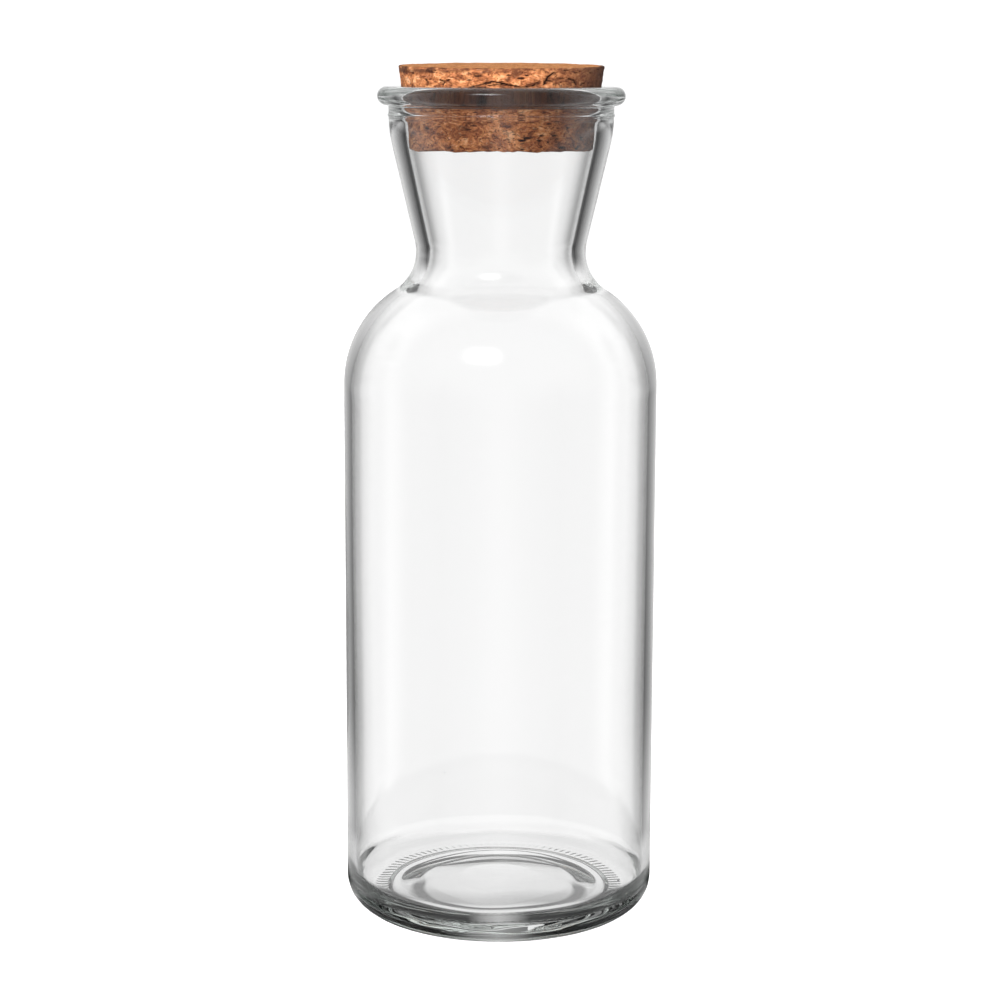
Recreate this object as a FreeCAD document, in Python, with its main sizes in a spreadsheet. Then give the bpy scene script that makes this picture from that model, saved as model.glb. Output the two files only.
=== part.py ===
import FreeCAD, Part
import Sketcher
import math
import os
import re

# A one-litre glass bottle with a wide mouth, and the tapered cork stopper that stands in it.
# Millimetres and degrees.  +Z is up, and the origin is the centre of the flat ring that the
# bottle stands on.  Both pieces are turned about the Z axis.

SIZES = {
    # outside of the bottle
    "bottle_height": 239.2,
    "body_diameter": 90.0,
    "heel_radius": 8.7,
    "shoulder_radius": 31.9,
    "waist_curve_radius": 12.9,
    "waist_drop": 46.4,          # from the top of the lip down to the narrowest place
    "neck_narrowing": 7.7,       # how much less the waist's radius is than the collar's
    "collar_height": 7.8,        # the straight collar and the lip together
    "collar_blend_radius": 38.0,
    "lip_height": 5.3,
    "lip_root_radius": 0.5,      # hollow curve between the collar and the lip
    "ridge_drop": 8.0,           # from the top of the lip down to the mould's parting ridge
    "ridge_height": 0.25,
    "ridge_width": 1.0,
    # underside, from the standing ring inwards
    "bearing_width": 3.2,
    "recess_slope_width": 1.8,
    "recess_depth": 1.2,
    "recess_width": 6.0,
    "punt_wall_width": 4.6,
    "punt_wall_rise": 2.0,
    "punt_dome_rise": 0.9,
    # short radial notches all round the standing ring
    "grip_count": 100,
    "grip_width": 0.9,
    "grip_depth": 0.3,
    "grip_margin": 0.5,
    # inside of the bottle
    "mouth_diameter": 56.6,
    "mouth_edge_radius": 2.0,
    "neck_wall": 3.6,
    "waist_wall": 3.9,
    "body_wall": 2.3,
    "inner_curve_extra": 1.1,    # the curves inside have this much more radius
    "inner_heel_radius": 7.0,
    "floor_height": 7.6,
    "floor_dome_radius": 420.0,
    # stopper
    "fit_clearance": 0.1,
    "stopper_height": 24.0,
    "stopper_depth": 17.5,       # how far it stands in the neck
    "stopper_taper": 7.7,        # between its side and its axis
    "stopper_edge_radius": 0.6,
}

# Sizes that follow from the driving ones, as formulas of their names
BODY_RADIUS = "body_diameter / 2"
MOUTH_RADIUS = "mouth_diameter / 2"
COLLAR_RADIUS = "mouth_diameter / 2 + neck_wall"
WAIST_RADIUS = COLLAR_RADIUS + " - neck_narrowing"
WAIST_HEIGHT = "bottle_height - waist_drop"
HEEL_START = BODY_RADIUS + " - heel_radius"
BEARING_INNER = HEEL_START + " - bearing_width"
RECESS_OUTER = BEARING_INNER + " - recess_slope_width"
PUNT_EDGE = BEARING_INNER + " - recess_width"
PUNT_TOP = PUNT_EDGE + " - punt_wall_width"
INNER_BODY = BODY_RADIUS + " - body_wall"
RIDGE_RADIUS = "(ridge_width ^ 2 / 4 + ridge_height ^ 2) / (2 * ridge_height)"
STOPPER_BOTTOM = "bottle_height - stopper_depth"
STOPPER_FOOT = (MOUTH_RADIUS + " - fit_clearance"
                " - (stopper_depth - mouth_edge_radius) * tan(stopper_taper * 1deg)")

START, END, CENTRE = 1, 2, 3
ORIGIN, X_AXIS, Y_AXIS = -1, -1, -2
EMBED = 0.5          # how deep a raised feature's root reaches into the wall behind it
CLEAR_ABOVE = 2.0    # how far the cut for the cavity runs out above the lip
FLARE_GUESS = 13.0   # degrees, where the search for the neck's slope starts
FLARE_ROUNDS = 20
CUT_TOLERANCE = 0.02  # share by which the notches' volume may differ from the drawn one


def size_sheet(doc):
    """Write the driving sizes into the document's spreadsheet, one named cell each."""
    sheet = doc.addObject("Spreadsheet::Sheet", "Sizes")
    for row, (name, value) in enumerate(SIZES.items(), start=1):
        sheet.set("A%d" % row, name)
        sheet.set("B%d" % row, str(value))
        sheet.setAlias("B%d" % row, name)
    doc.recompute()
    return sheet


def bound(formula):
    """Point each size name of a formula at its cell."""
    def cell(match):
        word = match.group()
        return "Sizes." + word if word in SIZES else word
    return re.sub("[a-z_]+", cell, formula)


def figure(feature, formula):
    """The present value of a formula."""
    value = feature.evalExpression(bound(formula))
    return float(getattr(value, "Value", value))


def origin_plane(body, role):
    """One of a body's own origin planes."""
    for feature in body.Origin.OriginFeatures:
        if feature.Role == role:
            return feature
    raise RuntimeError("no origin plane " + role)


def new_sketch(body, name, role):
    """An empty sketch on one of the body's origin planes."""
    sketch = body.newObject("Sketcher::SketchObject", name)
    sketch.AttachmentSupport = [(origin_plane(body, role), "")]
    sketch.MapMode = "FlatFace"
    sketch.Document.recompute()
    return sketch


def line(sketch, start, end):
    """Draw a line and return its index."""
    edge = Part.LineSegment(FreeCAD.Vector(*start, 0), FreeCAD.Vector(*end, 0))
    return sketch.addGeometry(edge, False)


def arc(sketch, centre, radius, start_deg, end_deg):
    """Draw an arc, anticlockwise from its start angle, and return its index."""
    circle = Part.Circle(FreeCAD.Vector(*centre, 0), FreeCAD.Vector(0, 0, 1), radius)
    edge = Part.ArcOfCircle(circle, math.radians(start_deg), math.radians(end_deg))
    return sketch.addGeometry(edge, False)


def relate(sketch, kind, *where):
    """Add a constraint that has no value."""
    sketch.addConstraint(Sketcher.Constraint(kind, *where))


def measure(sketch, kind, where, formula):
    """Add a constraint whose value follows a formula of the sheet's sizes."""
    value = figure(sketch, formula)
    index = sketch.addConstraint(Sketcher.Constraint(kind, *where, value))
    sketch.setExpression("Constraints[%d]" % index, bound(formula))


def place_point(sketch, edge, end, x_formula=None, y_formula=None):
    """Hold a point at a distance from the sketch's axes."""
    if x_formula:
        measure(sketch, "DistanceX", (ORIGIN, START, edge, end), x_formula)
    if y_formula:
        measure(sketch, "DistanceY", (ORIGIN, START, edge, end), y_formula)


def between(centre, radius, angle_deg):
    """The point of a circle at an angle."""
    angle = math.radians(angle_deg)
    return (centre[0] + radius * math.cos(angle), centre[1] + radius * math.sin(angle))


def shoulder_curve(wall, waist, waist_height, shoulder_radius, waist_curve):
    """Where an arc from an upright wall meets the hollow arc of the waist.

    Returns the two centres and the angle at which the arcs touch."""
    reach = shoulder_radius + waist_curve
    across = waist + waist_curve - (wall - shoulder_radius)
    touch = math.degrees(math.acos(across / reach))
    hollow = (waist + waist_curve, waist_height)
    round_centre = (wall - shoulder_radius,
                    waist_height - reach * math.sin(math.radians(touch)))
    return round_centre, hollow, touch


def flare_angle(hollow, waist_curve, point):
    """The slope, from upright, of the line that leaves the waist's arc and meets a point."""
    run = point[0] - hollow[0]
    rise = point[1] - hollow[1]
    distance = math.hypot(run, rise)
    return math.degrees(math.atan2(run, rise) + math.asin(waist_curve / distance))


def turned(body, kind, name, sketch):
    """Turn a sketch a full circle about the body's upright axis."""
    feature = body.newObject(kind, name)
    feature.Profile = sketch
    feature.ReferenceAxis = (sketch, ["V_Axis"])
    feature.Angle = 360.0
    return feature


def outside_sketch(body):
    """The bottle's outside and underside, as half of its section."""
    sketch = new_sketch(body, "outside_section", "XZ_Plane")

    def size(formula):
        return figure(sketch, formula)

    top = size("bottle_height")
    wall = size(BODY_RADIUS)
    heel = size("heel_radius")
    collar = size(COLLAR_RADIUS)
    root = size("lip_root_radius")
    half_lip = size("lip_height / 2")
    recess = size("recess_depth")
    punt_wall_top = size("recess_depth + punt_wall_rise")
    punt_top = size("recess_depth + punt_wall_rise + punt_dome_rise")
    punt_radius = size(PUNT_TOP)
    dome_rise = size("punt_dome_rise")
    dome_radius = (punt_radius ** 2 + dome_rise ** 2) / (2 * dome_rise)
    dome_angle = math.degrees(math.acos(punt_radius / dome_radius))
    waist_curve = size("waist_curve_radius")
    shoulder, hollow, touch = shoulder_curve(
        wall, size(WAIST_RADIUS), size(WAIST_HEIGHT), size("shoulder_radius"), waist_curve)
    blend = size("collar_blend_radius")
    blend_top = size("bottle_height - collar_height")
    blend_centre = (collar - blend, blend_top)
    flare = FLARE_GUESS
    for _ in range(FLARE_ROUNDS):
        flare = flare_angle(hollow, waist_curve, between(blend_centre, blend, -flare))
    lip_centre = (collar + root, top - half_lip)

    dome = arc(sketch, (0, punt_top - dome_radius), dome_radius, dome_angle, 90)
    punt_side = line(sketch, (punt_radius, punt_wall_top), (size(PUNT_EDGE), recess))
    recess_flat = line(sketch, (size(PUNT_EDGE), recess), (size(RECESS_OUTER), recess))
    recess_slope = line(sketch, (size(RECESS_OUTER), recess), (size(BEARING_INNER), 0))
    bearing = line(sketch, (size(BEARING_INNER), 0), (size(HEEL_START), 0))
    heel_arc = arc(sketch, (wall - heel, heel), heel, -90, 0)
    wall_line = line(sketch, (wall, heel), (wall, shoulder[1]))
    shoulder_arc = arc(sketch, shoulder, size("shoulder_radius"), 0, touch)
    waist_arc = arc(sketch, hollow, waist_curve, 180 - flare, 180 + touch)
    flare_line = line(sketch, between(hollow, waist_curve, 180 - flare),
                      between(blend_centre, blend, -flare))
    blend_arc = arc(sketch, blend_centre, blend, -flare, 0)
    collar_line = line(sketch, (collar, blend_top), (collar, top - 2 * half_lip - root))
    root_arc = arc(sketch, (collar + root, top - 2 * half_lip - root), root, 90, 180)
    lip_arc = arc(sketch, lip_centre, half_lip, -90, 90)
    top_line = line(sketch, (collar + root, top), (0, top))
    axis_line = line(sketch, (0, top), (0, punt_top))

    relate(sketch, "PointOnObject", dome, END, Y_AXIS)
    relate(sketch, "PointOnObject", dome, CENTRE, Y_AXIS)
    relate(sketch, "Coincident", dome, START, punt_side, START)
    relate(sketch, "Coincident", punt_side, END, recess_flat, START)
    relate(sketch, "Horizontal", recess_flat)
    relate(sketch, "Coincident", recess_flat, END, recess_slope, START)
    relate(sketch, "Coincident", recess_slope, END, bearing, START)
    relate(sketch, "PointOnObject", bearing, START, X_AXIS)
    relate(sketch, "Horizontal", bearing)
    relate(sketch, "Tangent", bearing, END, heel_arc, START)
    relate(sketch, "Tangent", heel_arc, END, wall_line, START)
    relate(sketch, "Vertical", wall_line)
    relate(sketch, "Tangent", wall_line, END, shoulder_arc, START)
    relate(sketch, "Tangent", shoulder_arc, END, waist_arc, END)
    relate(sketch, "Tangent", waist_arc, START, flare_line, START)
    relate(sketch, "Tangent", flare_line, END, blend_arc, START)
    relate(sketch, "Tangent", blend_arc, END, collar_line, START)
    relate(sketch, "Vertical", collar_line)
    relate(sketch, "Tangent", collar_line, END, root_arc, END)
    relate(sketch, "Tangent", root_arc, START, lip_arc, START)
    relate(sketch, "Tangent", lip_arc, END, top_line, START)
    relate(sketch, "Horizontal", top_line)
    relate(sketch, "PointOnObject", top_line, END, Y_AXIS)
    relate(sketch, "Coincident", top_line, END, axis_line, START)
    relate(sketch, "Coincident", axis_line, END, dome, END)

    place_point(sketch, dome, END, None, "recess_depth + punt_wall_rise + punt_dome_rise")
    place_point(sketch, dome, START, PUNT_TOP, "recess_depth + punt_wall_rise")
    place_point(sketch, punt_side, END, PUNT_EDGE, "recess_depth")
    place_point(sketch, recess_flat, END, RECESS_OUTER)
    place_point(sketch, bearing, START, BEARING_INNER)
    measure(sketch, "Radius", (heel_arc,), "heel_radius")
    place_point(sketch, wall_line, START, BODY_RADIUS)
    measure(sketch, "Radius", (shoulder_arc,), "shoulder_radius")
    measure(sketch, "Radius", (waist_arc,), "waist_curve_radius")
    place_point(sketch, waist_arc, CENTRE, WAIST_RADIUS + " + waist_curve_radius", WAIST_HEIGHT)
    measure(sketch, "Radius", (blend_arc,), "collar_blend_radius")
    place_point(sketch, collar_line, START, COLLAR_RADIUS, "bottle_height - collar_height")
    measure(sketch, "Radius", (root_arc,), "lip_root_radius")
    measure(sketch, "Radius", (lip_arc,), "lip_height / 2")
    place_point(sketch, lip_arc, START, COLLAR_RADIUS + " + lip_root_radius")
    place_point(sketch, top_line, START, None, "bottle_height")
    return sketch


def ridge_sketch(body):
    """The low rounded ridge round the collar, as half of its section."""
    sketch = new_sketch(body, "ridge_section", "XZ_Plane")
    collar = figure(sketch, COLLAR_RADIUS)
    middle = figure(sketch, "bottle_height - ridge_drop")
    half = figure(sketch, "ridge_width / 2")
    height = figure(sketch, "ridge_height")
    radius = figure(sketch, RIDGE_RADIUS)
    reach = math.degrees(math.asin(half / radius))
    inner = collar - EMBED

    face = arc(sketch, (collar + height - radius, middle), radius, -reach, reach)
    upper = line(sketch, (collar, middle + half), (inner, middle + half))
    back = line(sketch, (inner, middle + half), (inner, middle - half))
    lower = line(sketch, (inner, middle - half), (collar, middle - half))

    relate(sketch, "Coincident", face, END, upper, START)
    relate(sketch, "Coincident", upper, END, back, START)
    relate(sketch, "Coincident", back, END, lower, START)
    relate(sketch, "Coincident", lower, END, face, START)
    relate(sketch, "Horizontal", upper)
    relate(sketch, "Horizontal", lower)
    relate(sketch, "Vertical", back)
    measure(sketch, "Radius", (face,), RIDGE_RADIUS)
    place_point(sketch, face, START, COLLAR_RADIUS, "bottle_height - ridge_drop - ridge_width / 2")
    place_point(sketch, face, END, COLLAR_RADIUS, "bottle_height - ridge_drop + ridge_width / 2")
    place_point(sketch, back, START, COLLAR_RADIUS + " - %g" % EMBED)
    return sketch


def inside_sketch(body):
    """The space inside the bottle, from the floor up through the mouth."""
    sketch = new_sketch(body, "inside_section", "XZ_Plane")

    def size(formula):
        return figure(sketch, formula)

    top = size("bottle_height")
    wall = size(INNER_BODY)
    corner = size("inner_heel_radius")
    floor = size("floor_height")
    dome_radius = size("floor_dome_radius")
    waist_curve = size("waist_curve_radius + inner_curve_extra")
    shoulder_radius = size("shoulder_radius + inner_curve_extra")
    shoulder, hollow, touch = shoulder_curve(
        wall, size(WAIST_RADIUS + " - waist_wall"), size(WAIST_HEIGHT),
        shoulder_radius, waist_curve)
    foot = (size(STOPPER_FOOT + " + fit_clearance"), size(STOPPER_BOTTOM))
    flare = flare_angle(hollow, waist_curve, foot)
    mouth = size(MOUTH_RADIUS)
    edge = size("mouth_edge_radius")
    mouth_start = (mouth, foot[1] + (mouth - foot[0]) / math.tan(math.radians(flare)))
    lean = math.degrees(math.asin((wall - corner) / (dome_radius + corner)))
    corner_centre = (wall - corner,
                     floor - dome_radius + (dome_radius + corner) * math.cos(math.radians(lean)))

    floor_arc = arc(sketch, (0, floor - dome_radius), dome_radius, 90 - lean, 90)
    corner_arc = arc(sketch, corner_centre, corner, -90 - lean, 0)
    wall_line = line(sketch, (wall, corner_centre[1]), (wall, shoulder[1]))
    shoulder_arc = arc(sketch, shoulder, shoulder_radius, 0, touch)
    waist_arc = arc(sketch, hollow, waist_curve, 180 - flare, 180 + touch)
    flare_line = line(sketch, between(hollow, waist_curve, 180 - flare), mouth_start)
    mouth_line = line(sketch, mouth_start, (mouth, top - edge))
    edge_arc = arc(sketch, (mouth + edge, top - edge), edge, 90, 180)
    riser = line(sketch, (mouth + edge, top), (mouth + edge, top + CLEAR_ABOVE))
    lid = line(sketch, (mouth + edge, top + CLEAR_ABOVE), (0, top + CLEAR_ABOVE))
    axis_line = line(sketch, (0, top + CLEAR_ABOVE), (0, floor))
    seat = sketch.addGeometry(Part.Point(FreeCAD.Vector(*foot, 0)), True)

    relate(sketch, "PointOnObject", floor_arc, END, Y_AXIS)
    relate(sketch, "PointOnObject", floor_arc, CENTRE, Y_AXIS)
    relate(sketch, "Tangent", floor_arc, START, corner_arc, START)
    relate(sketch, "Tangent", corner_arc, END, wall_line, START)
    relate(sketch, "Vertical", wall_line)
    relate(sketch, "Tangent", wall_line, END, shoulder_arc, START)
    relate(sketch, "Tangent", shoulder_arc, END, waist_arc, END)
    relate(sketch, "Tangent", waist_arc, START, flare_line, START)
    relate(sketch, "Coincident", flare_line, END, mouth_line, START)
    relate(sketch, "PointOnObject", seat, START, flare_line)
    relate(sketch, "Vertical", mouth_line)
    relate(sketch, "Tangent", mouth_line, END, edge_arc, END)
    relate(sketch, "Coincident", edge_arc, START, riser, START)
    relate(sketch, "Vertical", riser)
    relate(sketch, "Coincident", riser, END, lid, START)
    relate(sketch, "Horizontal", lid)
    relate(sketch, "PointOnObject", lid, END, Y_AXIS)
    relate(sketch, "Coincident", lid, END, axis_line, START)
    relate(sketch, "Coincident", axis_line, END, floor_arc, END)

    place_point(sketch, floor_arc, END, None, "floor_height")
    measure(sketch, "Radius", (floor_arc,), "floor_dome_radius")
    measure(sketch, "Radius", (corner_arc,), "inner_heel_radius")
    place_point(sketch, wall_line, START, INNER_BODY)
    measure(sketch, "Radius", (shoulder_arc,), "shoulder_radius + inner_curve_extra")
    measure(sketch, "Radius", (waist_arc,), "waist_curve_radius + inner_curve_extra")
    place_point(sketch, waist_arc, CENTRE,
                WAIST_RADIUS + " - waist_wall + waist_curve_radius + inner_curve_extra",
                WAIST_HEIGHT)
    place_point(sketch, seat, START, STOPPER_FOOT + " + fit_clearance", STOPPER_BOTTOM)
    place_point(sketch, mouth_line, END, MOUTH_RADIUS, "bottle_height - mouth_edge_radius")
    measure(sketch, "Radius", (edge_arc,), "mouth_edge_radius")
    place_point(sketch, edge_arc, START, MOUTH_RADIUS + " + mouth_edge_radius")
    place_point(sketch, riser, END, None, "bottle_height + %g" % CLEAR_ABOVE)
    return sketch


def grip_sketch(body):
    """One notch of the standing ring, seen from below."""
    sketch = new_sketch(body, "grip_outline", "XY_Plane")
    near = figure(sketch, BEARING_INNER + " + grip_margin")
    far = figure(sketch, HEEL_START + " - grip_margin")
    half = figure(sketch, "grip_width / 2")
    corners = [(near, -half), (far, -half), (far, half), (near, half)]
    sides = []
    for start, end in zip(corners, corners[1:] + corners[:1]):
        sides.append(line(sketch, start, end))
    for side, following in zip(sides, sides[1:] + sides[:1]):
        relate(sketch, "Coincident", side, END, following, START)
    for level in (sides[0], sides[2]):
        relate(sketch, "Horizontal", level)
    relate(sketch, "Vertical", sides[3])
    relate(sketch, "Symmetric", sides[1], START, sides[1], END, X_AXIS)
    place_point(sketch, sides[0], START, BEARING_INNER + " + grip_margin")
    place_point(sketch, sides[0], END, HEEL_START + " - grip_margin")
    measure(sketch, "DistanceY", (sides[1], START, sides[1], END), "grip_width")
    return sketch


def glass_bottle(doc):
    """The bottle: a turned solid, hollowed out, with a notched standing ring."""
    body = doc.addObject("PartDesign::Body", "glass_bottle")
    body.Label = "glass_bottle"
    turned(body, "PartDesign::Revolution", "outside", outside_sketch(body))
    doc.recompute()
    turned(body, "PartDesign::Revolution", "parting_ridge", ridge_sketch(body))
    doc.recompute()
    turned(body, "PartDesign::Groove", "inside", inside_sketch(body))
    doc.recompute()
    before = body.Shape.Volume
    notch = body.newObject("PartDesign::Pocket", "grip_notch")
    notch.Profile = grip_sketch(body)
    notch.Reversed = True
    notch.setExpression("Length", bound("grip_depth"))
    doc.recompute()
    ring = body.newObject("PartDesign::PolarPattern", "grip_ring")
    ring.Originals = [notch]
    ring.Axis = (notch.Profile[0], ["N_Axis"])
    ring.Angle = 360.0
    ring.setExpression("Occurrences", bound("grip_count"))
    body.Tip = ring
    doc.recompute()
    one_notch = figure(body, "grip_width * grip_depth * (bearing_width - 2 * grip_margin)")
    expected = one_notch * figure(body, "grip_count")
    if abs(before - body.Shape.Volume - expected) > CUT_TOLERANCE * expected:
        raise RuntimeError("the notches cut %.2f mm3, not %.2f"
                           % (before - body.Shape.Volume, expected))
    return body


def round_edges(solid):
    """Names of a turned solid's circular edges."""
    names = []
    for index, edge in enumerate(solid.Edges, start=1):
        if isinstance(edge.Curve, Part.Circle):
            names.append("Edge%d" % index)
    return names


def cork_stopper(doc):
    """The stopper: a round plug that widens upwards, with both its rims eased."""
    body = doc.addObject("PartDesign::Body", "cork_stopper")
    body.Label = "cork_stopper"
    foot = new_sketch(body, "foot_circle", "XY_Plane")
    foot.setExpression("AttachmentOffset.Base.z", bound(STOPPER_BOTTOM))
    radius = figure(foot, STOPPER_FOOT)
    circle = Part.Circle(FreeCAD.Vector(0, 0, 0), FreeCAD.Vector(0, 0, 1), radius)
    rim = foot.addGeometry(circle, False)
    relate(foot, "Coincident", rim, CENTRE, ORIGIN, START)
    measure(foot, "Radius", (rim,), STOPPER_FOOT)
    doc.recompute()
    plug = body.newObject("PartDesign::Pad", "plug")
    plug.Profile = foot
    plug.setExpression("Length", bound("stopper_height"))
    plug.setExpression("TaperAngle", bound("stopper_taper"))
    doc.recompute()
    eased = body.newObject("PartDesign::Fillet", "eased_rims")
    eased.Base = (plug, round_edges(plug.Shape))
    eased.setExpression("Radius", bound("stopper_edge_radius"))
    body.Tip = eased
    doc.recompute()
    return body


def check(doc, pieces):
    """Stop if any object failed or a piece is not one sound solid."""
    for thing in doc.Objects:
        if "Invalid" in thing.State or "Error" in thing.State:
            raise RuntimeError("%s failed: %s" % (thing.Name, thing.State))
        if thing.TypeId == "Sketcher::SketchObject" and thing.solve() != 0:
            raise RuntimeError("%s does not solve" % thing.Name)
    for piece in pieces:
        shape = piece.Shape
        if shape.isNull() or not shape.isValid() or len(shape.Solids) != 1:
            raise RuntimeError("%s is not one valid solid" % piece.Label)


def main():
    doc = FreeCAD.newDocument("glass_bottle_with_cork_stopper")
    size_sheet(doc)
    pieces = [glass_bottle(doc), cork_stopper(doc)]
    check(doc, pieces)
    os.makedirs("parts", exist_ok=True)
    for piece in pieces:
        piece.Shape.exportStep(os.path.join("parts", piece.Label + ".step"))
        box = piece.Shape.optimalBoundingBox(True, False)
        print("%s: volume %.2f cm3, z %.2f to %.2f, across %.2f"
              % (piece.Label, piece.Shape.Volume / 1000, box.ZMin, box.ZMax, box.XLength))


main()
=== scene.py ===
import math
import random

import bpy
from bpy.props import FloatProperty, FloatVectorProperty, IntProperty, PointerProperty
from mathutils import Matrix, Vector, noise


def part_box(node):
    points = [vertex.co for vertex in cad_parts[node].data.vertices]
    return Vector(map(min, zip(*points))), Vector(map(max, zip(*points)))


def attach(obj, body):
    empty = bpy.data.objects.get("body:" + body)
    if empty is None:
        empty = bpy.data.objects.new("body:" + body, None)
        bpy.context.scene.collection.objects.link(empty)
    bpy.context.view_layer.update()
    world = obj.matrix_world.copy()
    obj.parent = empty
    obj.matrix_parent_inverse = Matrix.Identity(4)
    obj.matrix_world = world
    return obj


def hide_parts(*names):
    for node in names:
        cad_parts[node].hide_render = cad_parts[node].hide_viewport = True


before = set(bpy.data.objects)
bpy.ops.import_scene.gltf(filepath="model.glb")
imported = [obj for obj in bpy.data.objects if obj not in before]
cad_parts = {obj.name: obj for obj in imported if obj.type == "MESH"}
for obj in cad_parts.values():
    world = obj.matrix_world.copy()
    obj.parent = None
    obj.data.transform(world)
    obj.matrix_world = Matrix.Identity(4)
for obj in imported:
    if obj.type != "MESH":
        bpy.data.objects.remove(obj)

bl_info = {
    "name": "Glass bottle with cork stopper",
    "version": (1, 0, 0),
    "blender": (4, 5, 0),
    "location": "3D View > Sidebar > Bottle",
    "description": "Dresses the packed bottle with clear glass and natural cork, and lights it",
    "category": "Object",
}

MM = 0.001
BODY = "root"

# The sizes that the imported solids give, in millimetres
BOTTLE_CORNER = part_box("glass_bottle")[1]
STOPPER_LOW, STOPPER_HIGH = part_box("cork_stopper")
HEIGHT = round(BOTTLE_CORNER.z / MM, 1)
WALL_RADIUS = round(BOTTLE_CORNER.x / MM, 1)
STOPPER_TOP = round(STOPPER_HIGH.z / MM, 1)
# Where the stopper's foot rests in the mouth: radius and height
SEAT = (26.2, round(STOPPER_LOW.z / MM, 1))

# The rest of the section, in millimetres, as in the solids
HEEL_RADIUS = 8.7
SHOULDER_RADIUS = 31.9
WAIST_CURVE = 12.9
WAIST_RADIUS = 24.2
WAIST_HEIGHT = 192.8
COLLAR_RADIUS = 31.9
COLLAR_HEIGHT = 7.8
COLLAR_BLEND = 38.0
LIP_HEIGHT = 5.3
LIP_ROOT = 0.5
RIDGE_DROP = 8.0
RIDGE_HEIGHT = 0.25
RIDGE_WIDTH = 1.0
MOUTH_RADIUS = 28.3
MOUTH_EDGE = 2.0
INNER_WALL = 42.7
INNER_WAIST = 20.3
INNER_EXTRA = 1.1
INNER_HEEL = 7.0
FLOOR_TOP = 7.6
FLOOR_DOME = 420.0
RECESS_TOP = 4.1
FOOT_RADIUS = 26.1
STOPPER_TAPER = 7.7

# The notched stretch of the base and the recess's squarish edge: middle radius and half width
NOTCHED = (35.4, 2.4)
RECESS_EDGE = (25.0, 7.0)
# The heel is a little uneven up to this height
UNEVEN_HEEL = 12.0
# Seeds of air in the glass: where each is, and its radius
BUBBLES = (((-6.9, 27.0, 4.5), 0.35), ((36.0, -2.0, 6.3), 0.4), ((-12.5, 18.0, 5.6), 0.18),
           ((-30.5, 10.0, 5.2), 0.22), ((43.8, -6.0, 62.0), 0.2), ((-15.0, -41.2, 51.0), 0.14))

# The stopper: a mean radius, how far its foot is hollow, and the band behind the lip, darkened as
# painted shade
CORK_RADIUS = 28.6
FOOT_HOLLOW = 0.5
LIP_SHADE_BAND = (233.4, 239.3)
# How deep the stopper's side is rubbed, pitted and uneven
RUBBED = 0.08
PITTED = 0.12
UNEVEN = 0.06
# Rings of faces in the stopper's side and in each end
SIDE_RINGS = 96
END_RINGS = 34
# The bark's patches, flecks and grain, as sizes in millimetres. Cork's cells are ten times finer
# than this grain and would not show, so they are drawn this coarse.
PATCH_SIZE = 100 / 26
FLECK_SIZE = 100 / 62
GRAIN_SIZE = 100 / 260
# Patches and flecks lie level, this many times as long as they are high
BARK_STRETCH = 1.7
# The stopper's cracks: depth, then how far right of the front and how high each point is
CRACKS = (
    (1.1, ((-3.4, 239.7), (0.6, 240.2), (2.8, 239.8), (5.4, 239.4), (7.9, 239.5), (9.9, 240.1))),
    (0.7, ((-4.5, 240.5), (-2.8, 240.8), (-0.6, 240.6), (1.7, 240.0))),
    (0.5, ((-9.6, 238.9), (-7.3, 239.6), (-5.1, 240.1), (-2.8, 240.5))),
    (0.5, ((-8.5, 238.9), (-6.2, 239.3), (-3.6, 239.1))),
    (0.9, ((-20.9, 241.3), (-20.5, 240.3), (-20.8, 239.4))),
    (0.8, ((-17.0, 241.2), (-15.8, 240.6), (-16.4, 239.8))),
    (0.8, ((-15.2, 241.0), (-14.4, 241.2))),
    (0.9, ((14.4, 243.2), (13.0, 242.3), (12.3, 241.0), (11.8, 239.8))),
    (0.7, ((12.8, 241.2), (14.2, 240.8))),
    (0.6, ((18.5, 241.6), (20.0, 241.2), (20.8, 239.9))),
)
# For a node that turns a range of values to a share: with soft ends
SMOOTH = {"interpolation_type": "SMOOTHSTEP"}


def to_linear(code):
    """A hex sRGB colour as linear RGBA."""
    channels = []
    for place in (1, 3, 5):
        value = int(code[place:place + 2], 16) / 255
        channels.append(value / 12.92 if value <= 0.04045 else ((value + 0.055) / 1.055) ** 2.4)
    return (*channels, 1.0)


def tones(*stops):
    """A ramp's stops, from places and hex colours."""
    return [(place, to_linear(code)) for place, code in stops]


def greys(low, high, *stops):
    """A ramp's stops, from levels of grey at places in a range."""
    return [((place - low) / (high - low), (level, level, level, 1.0)) for place, level in stops]


def add_node(tree, kind, inputs=(), stops=(), **settings):
    """Add a shader node with its settings, a ramp's stops, and its inputs in order or by name.

    An input is a value, a socket to link, or a node whose first output is linked.
    """
    node = tree.nodes.new("ShaderNode" + kind)
    for name, value in settings.items():
        setattr(node, name, value)
    if stops:
        elements = node.color_ramp.elements
        while len(elements) < len(stops):
            elements.new(0.5)
        for element, (place, colour) in zip(elements, stops):
            element.position = place
            element.color = colour
    if isinstance(inputs, dict):
        pairs = [(node.inputs[name], value) for name, value in inputs.items()]
    else:
        pairs = zip([socket for socket in node.inputs if socket.enabled], inputs)
    for socket, value in pairs:
        if isinstance(value, bpy.types.Node):
            value = next(output for output in value.outputs if output.enabled)
        if isinstance(value, bpy.types.NodeSocket):
            tree.links.new(value, socket)
        else:
            socket.default_value = value
    return node


def bare_tree(owner):
    """The emptied node tree of a material or a world."""
    owner.use_nodes = True
    owner.node_tree.nodes.clear()
    return owner.node_tree


def arc(centre, radius, start, end, step):
    """Points along an arc of the section, with the angles in degrees."""
    count = max(2, math.ceil(abs(end - start) / step))
    points = []
    for index in range(count + 1):
        angle = math.radians(start + (end - start) * index / count)
        points.append((centre[0] + radius * math.cos(angle),
                       centre[1] + radius * math.sin(angle)))
    return points


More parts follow.
